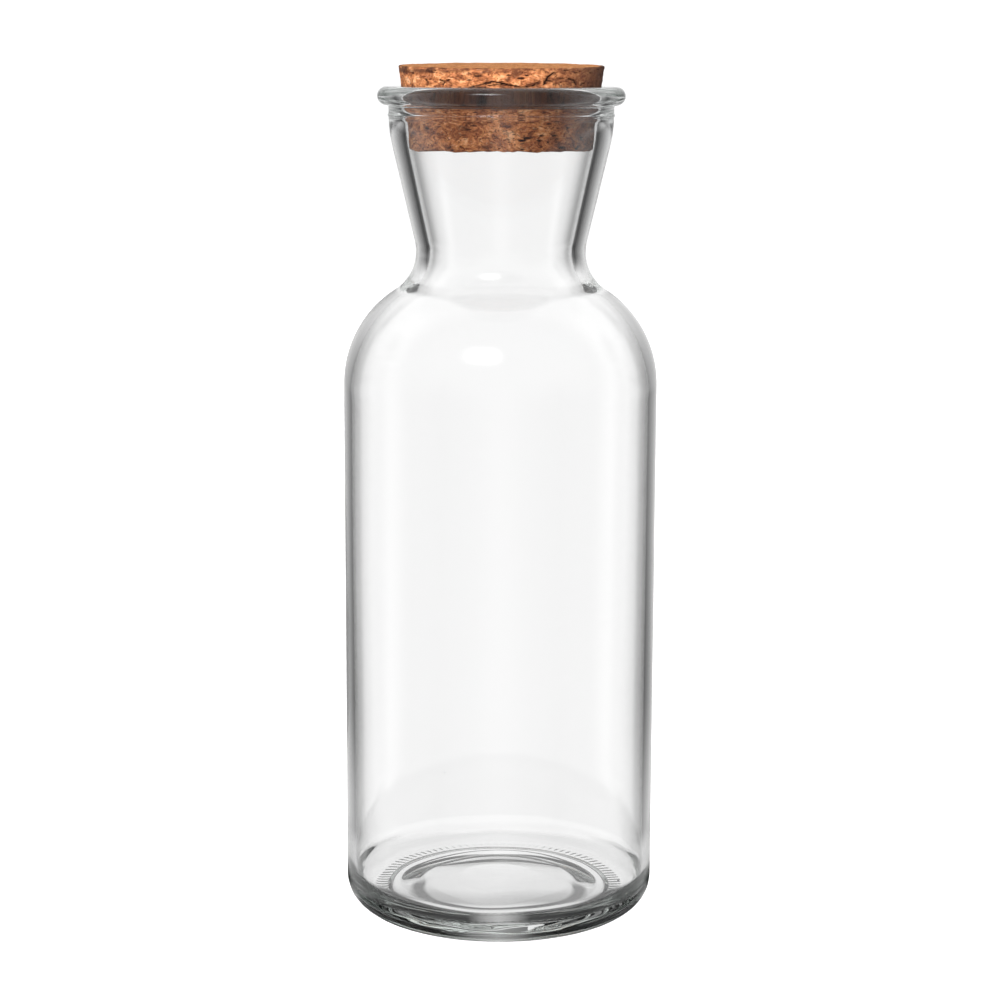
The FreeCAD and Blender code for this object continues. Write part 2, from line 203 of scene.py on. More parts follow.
def straight(start, end, count):
    """Points along a straight of the section."""
    return [(start[0] + (end[0] - start[0]) * index / count,
             start[1] + (end[1] - start[1]) * index / count) for index in range(count + 1)]


def eased(corners, reach, count=3):
    """A polyline with each inner corner turned into a short curve."""
    points = [corners[0]]
    for before, corner, after in zip(corners, corners[1:], corners[2:]):
        ends = []
        for other in (before, after):
            run = math.dist(corner, other)
            share = min(reach / run, 0.45)
            ends.append((corner[0] + (other[0] - corner[0]) * share,
                         corner[1] + (other[1] - corner[1]) * share))
        for index in range(count + 1):
            t = index / count
            points.append(tuple(ends[0][axis] * (1 - t) ** 2 + 2 * corner[axis] * t * (1 - t)
                                + ends[1][axis] * t ** 2 for axis in (0, 1)))
    points.append(corners[-1])
    return points


def touch_angle(wall, waist, shoulder, curve):
    """The angle at which the shoulder's arc meets the waist's hollow arc."""
    return math.degrees(math.acos((waist + curve - (wall - shoulder)) / (shoulder + curve)))


def flare_angle(hollow, curve, point):
    """The slope, from upright, of the line that leaves the waist's arc and meets a point."""
    run = point[0] - hollow[0]
    rise = point[1] - hollow[1]
    return math.degrees(math.atan2(run, rise) + math.asin(curve / math.hypot(run, rise)))


def outside_points():
    """The outside of the bottle's section, from the heel up to the lip's top."""
    touch = touch_angle(WALL_RADIUS, WAIST_RADIUS, SHOULDER_RADIUS, WAIST_CURVE)
    hollow = (WAIST_RADIUS + WAIST_CURVE, WAIST_HEIGHT)
    shoulder = (WALL_RADIUS - SHOULDER_RADIUS,
                WAIST_HEIGHT - (SHOULDER_RADIUS + WAIST_CURVE) * math.sin(math.radians(touch)))
    blend_top = HEIGHT - COLLAR_HEIGHT
    blend = (COLLAR_RADIUS - COLLAR_BLEND, blend_top)
    flare = 13.0
    for _ in range(20):
        lean = math.radians(flare)
        point = (blend[0] + COLLAR_BLEND * math.cos(lean), blend[1] - COLLAR_BLEND * math.sin(lean))
        flare = flare_angle(hollow, WAIST_CURVE, point)
    ridge = HEIGHT - RIDGE_DROP
    half = RIDGE_WIDTH / 2
    lip = (COLLAR_RADIUS + LIP_ROOT, HEIGHT - LIP_HEIGHT / 2)
    points = arc((WALL_RADIUS - HEEL_RADIUS, HEEL_RADIUS), HEEL_RADIUS, -60, 0, 4)
    points += straight((WALL_RADIUS, HEEL_RADIUS), (WALL_RADIUS, shoulder[1]), 10)[1:-1]
    points += arc(shoulder, SHOULDER_RADIUS, 0, touch, 2.2)
    points += arc(hollow, WAIST_CURVE, 180 + touch, 180 - flare, 4)[1:]
    points += arc(blend, COLLAR_BLEND, -flare, 0, 3)[:-1]
    points += [(COLLAR_RADIUS, ridge - half)]
    for share in (-0.7, -0.35, 0.0, 0.35, 0.7):
        points.append((COLLAR_RADIUS + RIDGE_HEIGHT * (1 - share ** 2), ridge + half * share))
    points += [(COLLAR_RADIUS, ridge + half), (COLLAR_RADIUS, HEIGHT - LIP_HEIGHT - LIP_ROOT - 0.6)]
    points += arc((COLLAR_RADIUS + LIP_ROOT, HEIGHT - LIP_HEIGHT - LIP_ROOT), LIP_ROOT, 180, 90, 22)
    points += arc(lip, LIP_HEIGHT / 2, -90, 90, 9)[1:]
    return points


def inside_points():
    """The inside of the bottle's section, from the mouth's edge down to the floor's middle."""
    curve = WAIST_CURVE + INNER_EXTRA
    round_radius = SHOULDER_RADIUS + INNER_EXTRA
    touch = touch_angle(INNER_WALL, INNER_WAIST, round_radius, curve)
    hollow = (INNER_WAIST + curve, WAIST_HEIGHT)
    shoulder = (INNER_WALL - round_radius,
                WAIST_HEIGHT - (round_radius + curve) * math.sin(math.radians(touch)))
    flare = flare_angle(hollow, curve, SEAT)
    mouth_start = (MOUTH_RADIUS,
                   SEAT[1] + (MOUTH_RADIUS - SEAT[0]) / math.tan(math.radians(flare)))
    lean = math.degrees(math.asin((INNER_WALL - INNER_HEEL) / (FLOOR_DOME + INNER_HEEL)))
    dome = (0, FLOOR_TOP - FLOOR_DOME)
    heel = (INNER_WALL - INNER_HEEL,
            dome[1] + (FLOOR_DOME + INNER_HEEL) * math.cos(math.radians(lean)))
    flare_top = arc(hollow, curve, 180 + touch, 180 - flare, 4)
    points = arc((MOUTH_RADIUS + MOUTH_EDGE, HEIGHT - MOUTH_EDGE), MOUTH_EDGE, 90, 180, 11)
    points += eased([(MOUTH_RADIUS, HEIGHT - MOUTH_EDGE), mouth_start, flare_top[-1]], 2.5)[1:-1]
    points += list(reversed(flare_top))
    points += arc(shoulder, round_radius, touch, 0, 2.2)[1:]
    points += straight((INNER_WALL, shoulder[1]), (INNER_WALL, heel[1]), 30)[1:-1]
    points += arc(heel, INNER_HEEL, 0, -90 - lean, 7)
    points += arc(dome, FLOOR_DOME, 90 - lean, 90, 0.4)[1:-1]
    return points


def underside_points():
    """The underside of the bottle's section, from its middle out to the standing ring."""
    recess = [(0.6, RECESS_TOP), (12.0, 3.9), (21.8, 3.35), (28.0, 1.2), (31.3, 1.2), (32.6, 0.25)]
    return eased(recess, 0.8)


def ring_points():
    """The standing ring and the lowest part of the heel, where the notches are."""
    points = [(32.9, 0.07), (33.3, 0.0), (33.9, 0.0), (34.5, 0.0), (35.1, 0.0), (35.7, 0.0)]
    return points + arc((WALL_RADIUS - HEEL_RADIUS, HEEL_RADIUS), HEEL_RADIUS, -90, -60, 3)[:-1]


class BottleSettings(bpy.types.PropertyGroup):
    """How the bottle is meshed, how uneven its glass is, and its tint."""

    segments: IntProperty(name="Segments", description="Faces round the bottle", default=300)
    teeth: IntProperty(name="Notches", description="Notches round the base", default=100)
    tooth_depth: FloatProperty(name="Notch depth", description="How deep the notches are",
                               default=0.6 * MM, unit="LENGTH", subtype="DISTANCE")
    unevenness: FloatProperty(name="Unevenness", description="Waviness of the inner wall",
                              default=0.1 * MM, unit="LENGTH", subtype="DISTANCE")
    tint: FloatVectorProperty(name="Tint", description="Colour of thick glass", size=4,
                              default=to_linear("#dfeee6"), min=0.0, max=1.0, subtype="COLOR")


class CorkSettings(bpy.types.PropertyGroup):
    """How rough the stopper is, and its colours."""

    seed: IntProperty(name="Seed", description="Where the pores fall", default=7)
    pores: IntProperty(name="Pores", description="Pores in the stopper's side", default=420)
    segments: IntProperty(name="Segments", description="Faces round the stopper", default=540)
    slant: FloatProperty(name="Slant", description="How much lower the top's front is",
                         default=1.3 * MM, unit="LENGTH", subtype="DISTANCE")
    bark: FloatVectorProperty(name="Bark", description="Main colour of the side", size=4,
                              default=to_linear("#d98f5a"), min=0.0, max=1.0, subtype="COLOR")
    cut: FloatVectorProperty(name="Cut end", description="Main colour of the top", size=4,
                             default=to_linear("#cf8c55"), min=0.0, max=1.0, subtype="COLOR")


class StageSettings(bpy.types.PropertyGroup):
    """The camera and the light round the bottle."""

    eye: FloatVectorProperty(name="Eye", description="Where the camera stands",
                             default=(0.0, -0.7034, 0.249), unit="LENGTH", subtype="TRANSLATION")
    lens: FloatProperty(name="Lens", description="Focal length", default=88.63,
                        unit="CAMERA")
    pitch: FloatProperty(name="Pitch", description="How far the camera looks down",
                         default=math.radians(10.337), unit="ROTATION", subtype="ANGLE")
    roll: FloatProperty(name="Roll", description="How far the camera leans",
                        default=math.radians(0.2), unit="ROTATION", subtype="ANGLE")
    glow: FloatProperty(name="Glow", description="Brightness of the white round the bottle",
                        default=1.0, min=0.0)


def new_piece(name, vertices, faces, material, node):
    """Make a smooth mesh piece that rides on the body and stands for a solid."""
    mesh = bpy.data.meshes.new(name)
    mesh.from_pydata(vertices, [], faces)
    if mesh.validate():
        raise RuntimeError(name + " has bad faces")
    mesh.polygons.foreach_set("use_smooth", [True] * len(mesh.polygons))
    mesh.materials.append(material)
    piece = bpy.data.objects.new(name, mesh)
    bpy.context.scene.collection.objects.link(piece)
    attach(piece, BODY)
    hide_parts(node)
    return piece


def stitch(rings):
    """Faces between rings of vertices, where a ring may have twice as many as its neighbour."""
    faces = []
    for lower, upper in zip(rings, rings[1:]):
        if len(lower) == len(upper):
            count = len(lower)
            for k in range(count):
                faces.append((lower[k], lower[(k + 1) % count],
                              upper[(k + 1) % count], upper[k]))
            continue
        flip = len(lower) > len(upper)
        few, many = (upper, lower) if flip else (lower, upper)
        count = len(few)
        for k in range(count):
            a, b = few[k], few[(k + 1) % count]
            c, d, e = many[2 * k], many[2 * k + 1], many[(2 * k + 2) % len(many)]
            for face in ((a, d, c), (a, b, d), (b, e, d)):
                faces.append(tuple(reversed(face)) if flip else face)
    return faces


def fan(tip, ring):
    """Faces that close a ring of vertices with a tip."""
    return [(tip, ring[k - 1], ring[k]) for k in range(len(ring))]


def spot_at(angle, radius, height):
    """A place in metres, from a bearing and from a radius and a height in millimetres."""
    return (radius * math.cos(angle) * MM, radius * math.sin(angle) * MM, height * MM)


def glass_material(tint):
    """Soda-lime flint glass, blown in a mould and fire polished.

    The eye looks straight through it: its form shows only in sharp lines of light and dark
    where it bends or mirrors the room, with a faint grey-green where it is thick.
    """
    material = bpy.data.materials.new("clear_flint_glass")
    tree = bare_tree(material)
    surface = add_node(tree, "BsdfPrincipled", {
        "Base Color": to_linear("#ffffff"),
        "Roughness": 0.0,
        "IOR": 1.52,
        "Transmission Weight": 1.0,
    })
    depth = add_node(tree, "VolumeAbsorption", {"Color": tint, "Density": 1.5})
    add_node(tree, "OutputMaterial", {"Surface": surface, "Volume": depth})
    return material


def cork_material(bark, cut):
    """Natural cork, punched from bark and cut off flat.

    The side is mottled brown and matt, with dark pores and flecks; the cut end is paler.
    """
    material = bpy.data.materials.new("natural_cork")
    tree = bare_tree(material)
    place = add_node(tree, "TexCoord").outputs["Object"]
    drawn = add_node(tree, "Mapping", {"Vector": place, "Scale": (1.0, 1.0, BARK_STRETCH)})
    patches = add_node(tree, "TexNoise", {"Vector": drawn, "Scale": 1 / (PATCH_SIZE * MM),
                                          "Detail": 6.0, "Roughness": 0.68, "Distortion": 0.9})
    flecks = add_node(tree, "TexNoise", {"Vector": drawn, "Scale": 1 / (FLECK_SIZE * MM),
                                         "Detail": 5.0, "Roughness": 0.72, "Distortion": 1.4})
    grain = add_node(tree, "TexNoise", {"Vector": place, "Scale": 1 / (GRAIN_SIZE * MM),
                                        "Detail": 2.0})
    side = tones((0.36, "#6e3f26"), (0.47, "#b36c43")) + [(0.56, bark)] + tones((0.66, "#f2b88a"))
    end = tones((0.36, "#7f4e2b"), (0.44, "#b8763f")) + [(0.54, cut)] + tones((0.68, "#e0a877"))
    dark = greys(0, 1, (0.4, 0.9), (0.485, 0.0), (1.0, 0.0))
    pale = greys(0, 1, (0.0, 0.0), (0.58, 0.0), (0.7, 0.55))
    across = add_node(tree, "SeparateXYZ", (place,)).outputs["X"]
    shares = {name: add_node(tree, "Attribute", attribute_name=name).outputs["Fac"]
              for name in ("stain_and_shade", "end", "pore")}
    colour = add_node(tree, "ValToRGB", (patches,), side)
    for share, coat in (
            (add_node(tree, "ValToRGB", (flecks,), dark), to_linear("#5a2f1b")),
            (add_node(tree, "ValToRGB", (flecks,), pale), to_linear("#f4c49a")),
            # painted shade: the side darkens toward #4a2e22 from 4 to 32 mm right of the middle
            (add_node(tree, "MapRange", (across, 4 * MM, 32 * MM), **SMOOTH), to_linear("#4a2e22")),
            # painted shade behind the lip, and stain on the rim, darken the colour toward #3a2218
            (shares["stain_and_shade"], to_linear("#3a2218")),
            (shares["end"], add_node(tree, "ValToRGB", (flecks,), end)),
            (shares["pore"], to_linear("#2b150b"))):
        colour = add_node(tree, "Mix", (share, colour, coat), data_type="RGBA")
    relief = add_node(tree, "Math", (flecks, grain), operation="ADD")
    bump = add_node(tree, "Bump", {"Height": relief, "Distance": 0.4 * MM, "Strength": 0.9})
    surface = add_node(tree, "BsdfPrincipled", {
        "Base Color": colour,
        "Roughness": 0.82,
        "Specular IOR Level": 0.25,
        "Normal": bump,
    })
    add_node(tree, "OutputMaterial", (surface,))
    return material


def hump(value, middle, reach):
    """1 at the middle of a stretch, falling to 0 at its ends."""
    return max(0.0, 1 - ((value - middle) / reach) ** 2)


def glass_spot(settings, part, angle, radius, height):
    """Where a point of the section stands, once the glass is notched and a little uneven."""
    if part == "ring":
        worn = 0.65 - 0.35 * math.sin(angle)
        notch = 0.5 - 0.5 * math.cos(settings.teeth * angle)
        height += settings.tooth_depth / MM * hump(radius, *NOTCHED) * notch * worn
    elif part == "out" and height < UNEVEN_HEEL:
        spot = Vector((math.cos(angle) * 4, math.sin(angle) * 4, height * 0.55))
        radius += 0.12 * noise.noise(spot) * min(1.0, (UNEVEN_HEEL - height) / 3)
    elif part == "under":
        squarish = 0.9 * math.cos(4 * angle + 0.3) + 0.5 * math.sin(3 * angle)
        radius += hump(radius, *RECESS_EDGE) * squarish
    elif part == "in" and height < WAIST_HEIGHT:
        spot = Vector((radius * math.cos(angle), radius * math.sin(angle), height * 0.35)) * 0.03
        radius += settings.unevenness / MM * noise.noise(spot) * 2
    return spot_at(angle, radius, height)


def add_bubble(vertices, faces, place, size, rows=8, around=12):
    """Add a seed of air, a small ball that faces inward, to the glass."""
    first = len(vertices)
    for row in range(1, rows):
        tilt = math.pi * row / rows
        for k in range(around):
            turn = 2 * math.pi * k / around
            way = Vector((math.sin(tilt) * math.cos(turn), math.sin(tilt) * math.sin(turn),
                          math.cos(tilt)))
            vertices.append(tuple((Vector(place) + way * size) * MM))
    grid = [list(range(start, start + around)) for start in range(first, len(vertices), around)]
    tip = len(vertices)
    vertices += [tuple((Vector(place) + Vector((0, 0, size * way))) * MM) for way in (1, -1)]
    faces += stitch(grid) + fan(tip, grid[0][::-1]) + fan(tip + 1, grid[-1])


class BOTTLE_OT_glass(bpy.types.Operator):
    """Build the glass bottle"""

    bl_idname = "bottle.glass"
    bl_label = "Glass bottle"

    def execute(self, context):
        settings = context.scene.bottle_glass
        count = settings.segments
        vertices, rings = [], []
        for part, points, around in (
                ("under", underside_points(), count), ("ring", ring_points(), 2 * count),
                ("out", outside_points(), count), ("in", inside_points(), count)):
            for radius, height in points:
                rings.append(list(range(len(vertices), len(vertices) + around)))
                for k in range(around):
                    angle = 2 * math.pi * k / around
                    vertices.append(glass_spot(settings, part, angle, radius, height))
        faces = stitch(rings)
        for place, size in BUBBLES:
            add_bubble(vertices, faces, place, size)
        tip = len(vertices)
        vertices += [spot_at(0, 0, RECESS_TOP), spot_at(0, 0, FLOOR_TOP)]
        faces += fan(tip, rings[0][::-1]) + fan(tip + 1, rings[-1])
        new_piece("bottle_shell", vertices, faces, glass_material(tuple(settings.tint)),
                  "glass_bottle")
        return {"FINISHED"}


def cork_marks(settings):
    """Pores and cracks of the stopper: bearing, height, half length, half height and depth."""
    chance = random.Random(settings.seed)
    marks = []
    for _ in range(settings.pores):
        size = chance.random() ** 2
        marks.append((chance.uniform(0, 2 * math.pi),
                      chance.uniform(SEAT[1] + 0.4, STOPPER_TOP - 1.2),
                      0.3 + 1.3 * size, 0.16 + 0.25 * size * chance.random(), 0.3 + 0.7 * size))
    for depth, points in CRACKS:
        for start, end in zip(points, points[1:]):
            for step in range(6):
                across = start[0] + (end[0] - start[0]) * step / 6
                height = start[1] + (end[1] - start[1]) * step / 6
                marks.append((math.asin(across / CORK_RADIUS) - math.pi / 2,
                              height + chance.uniform(-0.08, 0.08),
                              0.5, 0.17 + 0.08 * chance.random(), depth))
    return marks


def cork_top(across, along, slant):
    """The height of the stopper's cut top, which slopes and is a little uneven."""
    lean = slant * (0.5 - 0.5 * along / 29.2)
    wave = 0.14 * noise.noise(Vector((across, along, 0.0)) * 0.11)
    rough = 0.08 * noise.noise(Vector((across, along, 3.0)) * 0.8)
    return min(STOPPER_TOP - 0.02, STOPPER_TOP - 0.06 - lean + wave + rough)


def cork_foot(angle):
    """The height of the stopper's ragged foot."""
    place = Vector((math.cos(angle), math.sin(angle), 0.0))
    ragged = 0.45 * noise.noise(place * 3.0) + 0.5 * noise.noise(place * 12.0)
    return SEAT[1] + max(0.05, 0.6 + ragged)


def dent(grid, mark):
    """Sink one pore or crack into the grid of the stopper's side."""
    bearing, height, half_long, half_tall, depth = mark
    around = len(grid[0])
    middle = round(bearing / (2 * math.pi) * around)
    reach = math.ceil(1.3 * half_long / (2 * math.pi * CORK_RADIUS / around)) + 1
    for row in grid:
        if abs(row[middle % around][1] - height) > 1.3 * half_tall + 0.3:
            continue
        for k in range(middle - reach, middle + reach + 1):
            spot = row[k % around]
            aside = (2 * math.pi * k / around - bearing) * CORK_RADIUS / half_long
            share = 1 - aside ** 2 - ((spot[1] - height) / half_tall) ** 2
            if share > 0:
                spot[2] = max(spot[2], min(1.0, 1.6 * share))
                spot[3] = max(spot[3], depth * math.sqrt(share))


def lip_shade_and_rim_stain(angle, height):
    """How dark the stopper is made: painted shade where the lip hides it, and stain in places along
    its rim.
    """
    # painted shade: up to 0.9 across the band that the lip hides
    lip_shade = min(1.0, max(0.0, (height - LIP_SHADE_BAND[0]) / 0.8), max(0.0, (LIP_SHADE_BAND[1] - height) / 0.5))
    spot = Vector((math.cos(angle) * 9, math.sin(angle) * 9, height * 0.9))
    rim = max(0.0, min(1.0, (height - 242.6) / 0.8)) * max(0.0, 0.5 - 0.6 * math.cos(angle))
    return max(0.9 * lip_shade, min(0.75, rim * (0.6 + noise.noise(spot))))


def cork_side(settings):
    """The stopper's side, as rings of [radius, height, pore, dent] from its foot to its top."""
    slope = math.tan(math.radians(STOPPER_TAPER))
    grid = []
    for index in range(SIDE_RINGS + 1):
        row = []
        for k in range(settings.segments):
            angle = 2 * math.pi * k / settings.segments
            place = Vector((math.cos(angle), math.sin(angle), 0.0)) * CORK_RADIUS
            foot = cork_foot(angle)
            top = cork_top(place.x, place.y, settings.slant / MM)
            height = foot + (top - foot) * index / SIDE_RINGS
            place.z = height
            radius = FOOT_RADIUS - RUBBED + (height - SEAT[1]) * slope
            radius -= PITTED * (1 + noise.noise(Vector((place.x, place.y, 2.5 * height)) * 0.35))
            radius -= UNEVEN * (1 + noise.noise(place * 1.6))
            chip = 0.35 + 0.3 * noise.noise(place * 0.7)
            for edge in (top - height, height - foot):
                if edge < chip:
                    radius -= chip * (1 - math.sqrt(1 - (1 - edge / chip) ** 2))
            row.append([radius, height, 0.0, 0.0])
        grid.append(row)
    for mark in cork_marks(settings):
        dent(grid, mark)
    return grid


class BOTTLE_OT_cork(bpy.types.Operator):
    """Build the cork stopper"""

    bl_idname = "bottle.cork"
    bl_label = "Cork stopper"

    def execute(self, context):
        settings = context.scene.bottle_cork
        slant = settings.slant / MM
        angles = [2 * math.pi * k / settings.segments for k in range(settings.segments)]
        grid = cork_side(settings)
        hollow = SEAT[1] + FOOT_HOLLOW

        # Rings of (radius, height, pore, stain and shade, end): the foot, a little darkened, the side
        # and the cut top
        rows = []
        for index in range(1, END_RINGS):
            share = index / END_RINGS
            rows.append([(radius * share, height * share + hollow * (1 - share), 0.0, 0.3, 0.0)
                         for radius, height, _, _ in grid[0]])
        for row in grid:
            rows.append([(radius - depth, height, pore, lip_shade_and_rim_stain(angle, height), 0.0)
                         for angle, (radius, height, pore, depth) in zip(angles, row)])
        for index in range(END_RINGS - 1, 0, -1):
            row = []
            for angle, spot in zip(angles, grid[-1]):
                radius = spot[0] * index / END_RINGS
                top = cork_top(radius * math.cos(angle), radius * math.sin(angle), slant)
                row.append((radius, top, 0.0, 0.0, 1.0))
            rows.append(row)

        vertices, looks, rings = [], [], []
        for row in rows:
            rings.append(list(range(len(vertices), len(vertices) + len(row))))
            for angle, (radius, height, *look) in zip(angles, row):
                vertices.append(spot_at(angle, radius, height))
                looks.append(look)
        tip = len(vertices)
        vertices += [spot_at(0, 0, hollow), spot_at(0, 0, cork_top(0.0, 0.0, slant))]
        looks += [(0.0, 0.3, 0.0), (0.0, 0.0, 1.0)]
        faces = stitch(rings) + fan(tip, rings[0][::-1]) + fan(tip + 1, rings[-1])
        material = cork_material(tuple(settings.bark), tuple(settings.cut))
        piece = new_piece("cork_plug", vertices, faces, material, "cork_stopper")
        for name, values in zip(("pore", "stain_and_shade", "end"), zip(*looks)):
            piece.data.attributes.new(name, "FLOAT", "POINT").data.foreach_set("value", values)
        return {"FINISHED"}


def between(tree, value, low, high):
    """1 where a value lies between two bounds."""
    above = add_node(tree, "Math", (value, low), operation="GREATER_THAN")
    below = add_node(tree, "Math", (value, high), operation="LESS_THAN")
    return add_node(tree, "Math", (above, below), operation="MULTIPLY")


def spent(tree, rays, tone, start, end=23.5):
    """A tone, nearly black for light that met so many faces that it was guided inside the glass."""
    guided = between(tree, rays["Ray Depth"], start, end)
    return add_node(tree, "Mix", (guided, tone, 0.02))


def bearing(tree, vector):
    """The bearing of a direction or a place round the upright axis, in degrees."""
    axes = add_node(tree, "SeparateXYZ", (vector,)).outputs
    angle = add_node(tree, "Math", (axes["Y"], axes["X"]), operation="ARCTAN2")
    return add_node(tree, "Math", (angle, 180 / math.pi), operation="MULTIPLY")


def off_spoke(tree, turn, half):
    """How far a bearing lies off the nearest spoke, as a share of half the angle between two."""
    aside = add_node(tree, "Math", (turn, half), operation="PINGPONG")
    return add_node(tree, "MapRange", (aside, 0.0, half))


def lit_wall(tree, rise, turn, deep):
    """The wall that the glass bends into view: lit stretches between dark cards.

    The cards are blackest low down and fade out upward. Light that came through the bottle's
    inside, here called deep, finds twice as many of them and a dark ceiling.
    """
    wall = add_node(tree, "ValToRGB", (off_spoke(tree, turn, 45.0),), greys(
        0, 45, (0, 1.0), (8, 0.9), (12, 0.75), (19, 0.5), (27, 0.36), (34, 0.25), (40, 0.13),
        (45, 0.03)))
    inner = add_node(tree, "ValToRGB", (off_spoke(tree, turn, 22.5),), greys(
        0, 22.5, (0, 1.03), (8, 1.03), (12, 0.9), (15, 0.74), (17, 0.6), (19, 0.5), (22.5, 0.42)))
    cards = add_node(tree, "Mix", (deep, wall, inner))
    level = add_node(tree, "MapRange", (rise, -1.0, 1.0))
    contrast = add_node(tree, "ValToRGB", (level,), greys(
        -1, 1, (-0.6, 0.0), (-0.47, 0.8), (-0.36, 0.66), (-0.33, 0.18), (-0.295, 0.24),
        (-0.26, 0.44), (-0.15, 0.36), (0.0, 0.32), (0.1, 0.24), (0.2, 0.14), (0.35, 0.04),
        (0.5, 0.0)))
    power = add_node(tree, "Math", (contrast, 3.0), operation="MULTIPLY")
    around = add_node(tree, "Math", (cards, power), operation="POWER")
    ceiling = add_node(tree, "ValToRGB", (level,), greys(
        -1, 1, (-0.8, 0.7), (-0.74, 1.0), (0.6, 1.0), (0.68, 0.02)))
    over = add_node(tree, "Mix", (deep, 1.0, ceiling))
    return add_node(tree, "Math", (around, over), operation="MULTIPLY")


def room_glow(tree, way, rise):
    """What lights the cork: a bright patch in front, a little to the left, in a dim, even room."""
    front = add_node(tree, "VectorMath", (way, (-0.17, -0.985, 0.0)), operation="DOT_PRODUCT")
    patch = add_node(tree, "MapRange", (front, 0.45, 1.0), **SMOOTH)
    high = add_node(tree, "MapRange", (rise, 0.3, 0.9), **SMOOTH)
    return add_node(tree, "Mix", (high, add_node(tree, "Mix", (patch, 0.4, 7.2)), 0.42))


def softbox_share(tree, rise, turn):
    """The soft window high in front, which the shoulder and the bead mirror."""
    share = 1.0
    for value, dim, bright in ((rise, 0.4, 0.64), (rise, 0.86, 0.66),
                               (turn, -138.0, -108.0), (turn, -78.0, -100.0)):
        edge = add_node(tree, "MapRange", (value, dim, bright), **SMOOTH)
        share = add_node(tree, "Math", (share, edge), operation="MULTIPLY")
    return add_node(tree, "Math", (share, 3.0), operation="POWER")


def studio_world(glow):
    """White all round for the eye; for what the glass bends and mirrors, a lit wall between cards."""
    world = bpy.data.worlds.new("studio")
    tree = bare_tree(world)
    way = add_node(tree, "TexCoord").outputs["Generated"]
    axes = add_node(tree, "SeparateXYZ", (way,)).outputs
    rise, turn = axes["Z"], bearing(tree, way)
    rays = add_node(tree, "LightPath").outputs
    deep = add_node(tree, "Math", (rays["Transmission Depth"], 3.0), operation="GREATER_THAN")
    beyond = add_node(tree, "MapRange", (axes["Y"], -0.2, 0.2), **SMOOTH)
    wall = lit_wall(tree, rise, turn, deep)
    soft = room_glow(tree, way, rise)

    # Light that was mirrored inside the bottle finds narrow streaks above the horizon
    streaks = add_node(tree, "ValToRGB", (off_spoke(tree, turn, 45.0),), greys(
        0, 45, (0, 1.0), (8, 0.9), (13, 0.35), (20, 0.03), (45, 0.0)))
    above = add_node(tree, "MapRange", (rise, -0.02, 0.05), **SMOOTH)
    lost = add_node(tree, "Mix", (beyond, 0.45, add_node(tree, "Mix", (above, wall, streaks))))
    often = add_node(tree, "Math", (rays["Ray Depth"], 5.5), operation="GREATER_THAN")
    inside = add_node(tree, "Math", (deep, often), operation="MULTIPLY")

    # What the bottle's face mirrors from in front is dim, but for one soft window
    mirrored = add_node(tree, "Mix", (beyond, 0.2, wall))
    tone = add_node(tree, "Mix", (rays["Is Reflection Ray"], wall, mirrored))
    tone = spent(tree, rays, add_node(tree, "Mix", (inside, tone, lost)), 8.5)
    scattered = add_node(tree, "Math", (rays["Diffuse Depth"], 0.5), operation="GREATER_THAN")
    dimmed = add_node(tree, "Math", (soft, 0.23), operation="MULTIPLY")
    tone = add_node(tree, "Mix", (scattered, tone, dimmed))
    window = add_node(tree, "Math", (softbox_share(tree, rise, turn), rays["Is Reflection Ray"]),
                      operation="MULTIPLY")
    tone = add_node(tree, "Mix", (window, tone, 10.0))
    plain = add_node(tree, "Mix", (rays["Is Camera Ray"], soft, 1.1))
    direct = add_node(tree, "Math", (rays["Is Camera Ray"], rays["Is Diffuse Ray"]),
                      operation="MAXIMUM")
    tone = add_node(tree, "Mix", (direct, tone, plain))
    back = add_node(tree, "Background", {"Color": tone, "Strength": glow})
    add_node(tree, "OutputWorld", (back,))
    return world


def recess_tone(tree, axes, away):
    """The table seen through the recess, with painted shade: bright, grey before the middle, half
    ringed with dark.
    """
    forth = add_node(tree, "MapRange", (axes["Y"], -50.0, 50.0))
    tone = add_node(tree, "ValToRGB", (forth,), greys(
        -50, 50, (-30, 0.85), (-21, 0.8), (-15, 0.42), (-8, 0.5), (0, 0.75), (30, 0.95)))
    out = add_node(tree, "MapRange", (away, 0.0, 40.0))
    ring = add_node(tree, "ValToRGB", (out,), greys(
        0, 40, (0, 0.0), (22.5, 0.0), (23.8, 1.0), (25.8, 1.0), (27.2, 0.0)))
    behind = add_node(tree, "MapRange", (axes["Y"], 0.0, 14.0), **SMOOTH)
    ring = add_node(tree, "Mix", (behind, ring, 0.0))
    return add_node(tree, "Mix", (ring, tone, 0.16))


def table_tone(tree, place, axes, away, deep):
    """The table as the glass shows it, with painted light and shade: streaks round the heel, and
    white at the back.
    """
    recess = recess_tone(tree, axes, away)
    streaks = add_node(tree, "ValToRGB", (off_spoke(tree, bearing(tree, place), 45.0),), greys(
        0, 45, (0, 0.5), (6, 0.35), (14, 0.03), (45, 0.0)))
    aside = add_node(tree, "Math", (axes["X"],), operation="ABSOLUTE")
    wide = add_node(tree, "MapRange", (aside, 18.0, 24.0), **SMOOTH)
    nearer = add_node(tree, "Math", (axes["Y"], 4.0), operation="SUBTRACT")
    forth = add_node(tree, "Mix", (wide, axes["Y"], nearer))
    behind = add_node(tree, "MapRange", (forth, -14.0, 2.0), **SMOOTH)
    back = add_node(tree, "Math", (behind, deep), operation="MULTIPLY")
    open_table = add_node(tree, "MapRange", (away, 56.0, 66.0), **SMOOTH)
    edge = add_node(tree, "Mix", (open_table, streaks, 0.75))
    rim = add_node(tree, "Mix", (back, edge, 0.9))
    middle = add_node(tree, "Mix", (deep, streaks, recess))
    beyond = add_node(tree, "MapRange", (away, 31.0, 34.0), **SMOOTH)
    return add_node(tree, "Mix", (beyond, middle, rim))


